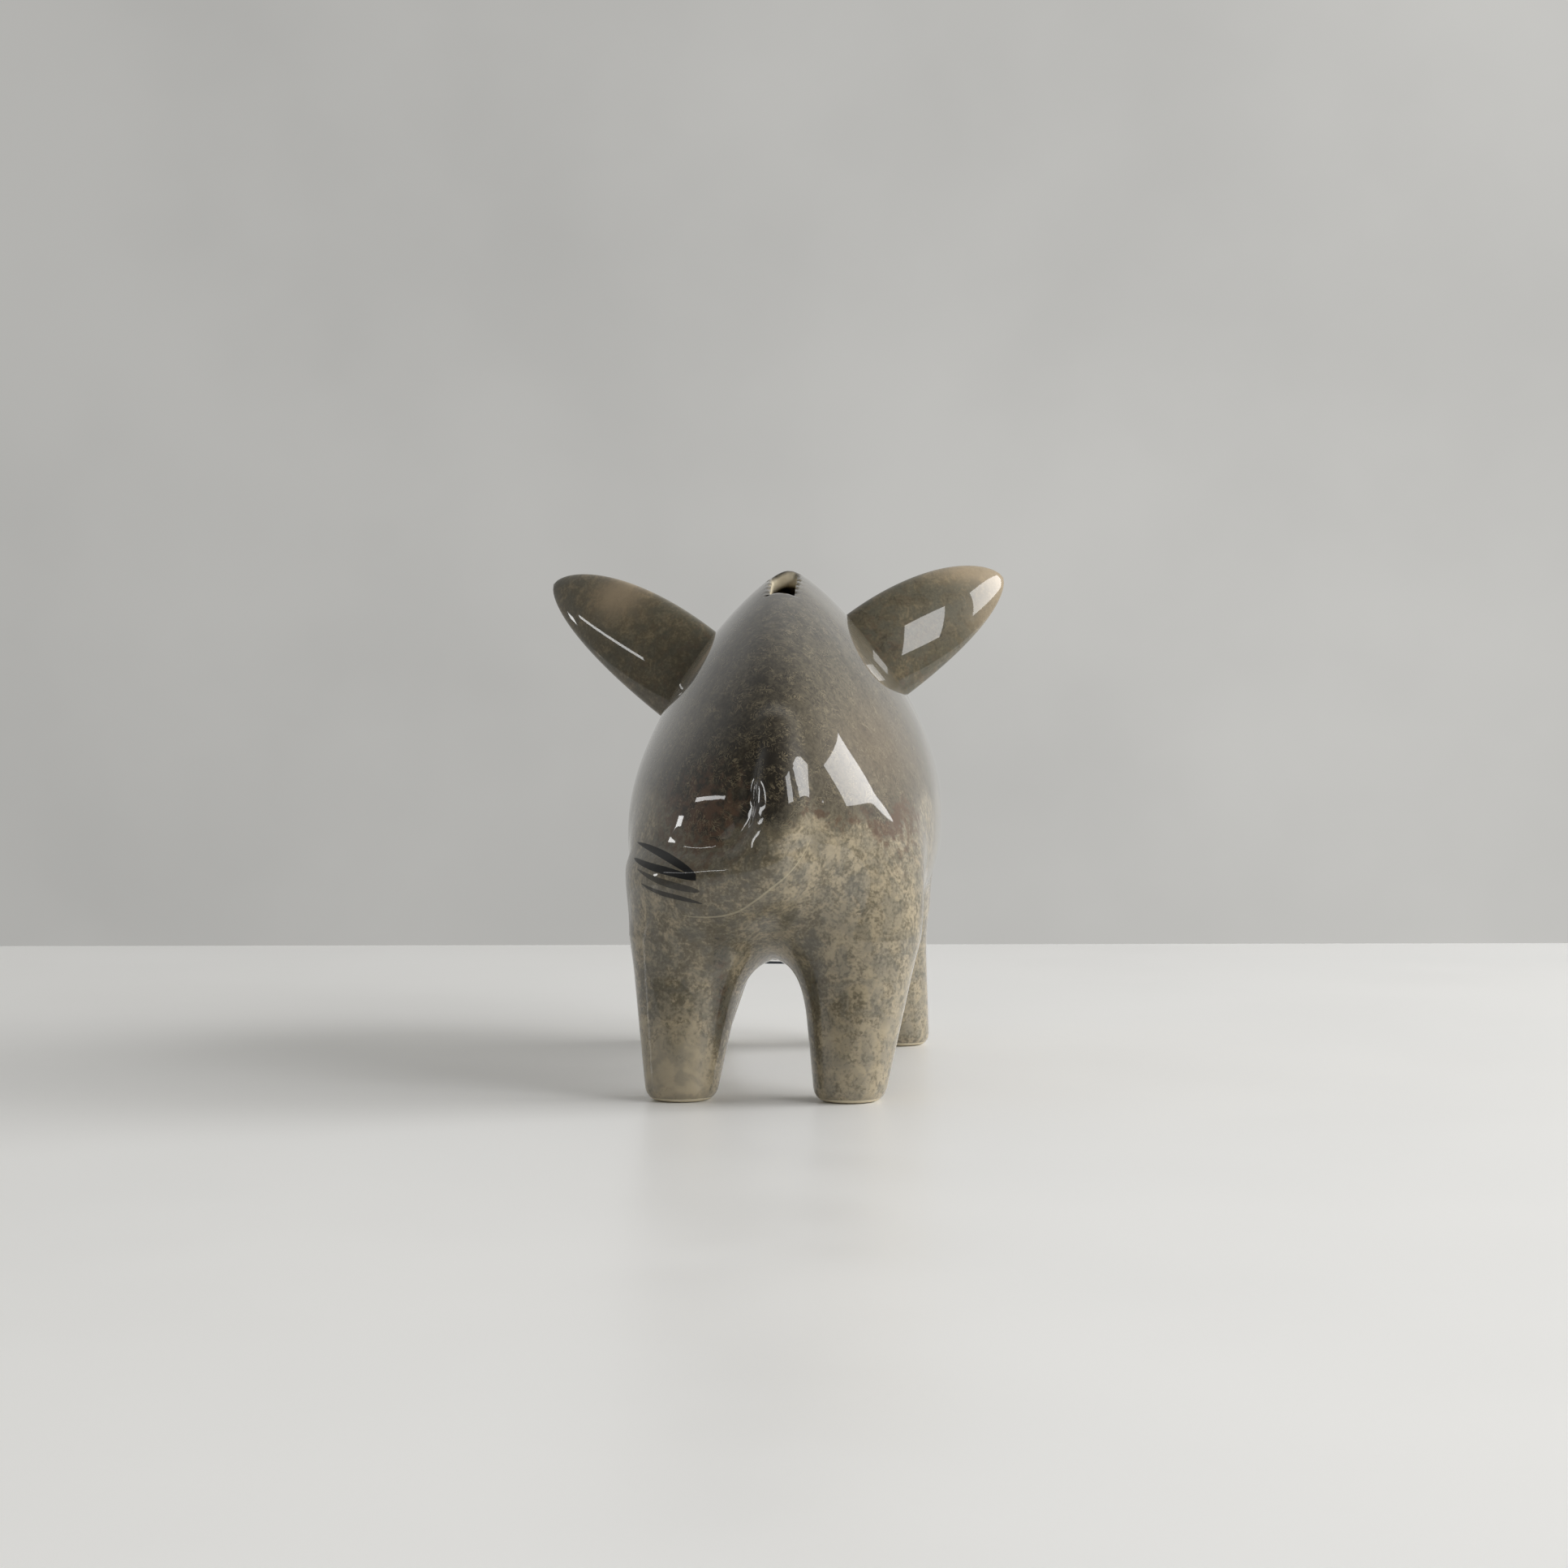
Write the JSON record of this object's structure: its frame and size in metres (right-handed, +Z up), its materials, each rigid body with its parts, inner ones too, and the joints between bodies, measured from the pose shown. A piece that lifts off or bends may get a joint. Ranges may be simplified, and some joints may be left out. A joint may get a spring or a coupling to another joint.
{
  "type": "ceramic piggy bank",
  "caption": "Glazed ceramic piggy bank with a ridged back, pricked ears, a curled tail, a coin slot in the back and a rubber stopper in the belly.",
  "frame": {"origin": "bottom centre of the whole object's box, on the plane that the feet stand on", "axes": "+Y towards the snout along the length, +Z up, +X to the animal's right"},
  "size_m": [0.1174, 0.193, 0.1221],
  "materials": {
    "body_glaze": "glossy mottled grey-brown glaze, bare cream clay under the feet and in the slot",
    "ear_glaze": "glossy dark olive-brown glaze with tan patches",
    "tail_glaze": "glossy dark olive-brown glaze with painted black bristle strokes",
    "eye_glaze": "glossy black glaze",
    "stopper_rubber": "matt blue-grey soft rubber"
  },
  "bodies": {
    "bank": {"body_shell": "body_glaze", "left_ear": "ear_glaze", "right_ear": "ear_glaze", "tail": "tail_glaze", "snout_disc": "body_glaze", "left_eye": "eye_glaze", "right_eye": "eye_glaze"},
    "stopper": {"belly_stopper": "stopper_rubber"}
  },
  "joints": [
    {"name": "stopper_pull", "type": "slide", "parent": "bank", "child": "stopper", "axis": [0, 0, -1], "range_m": [0, 0.014]}
  ]
}
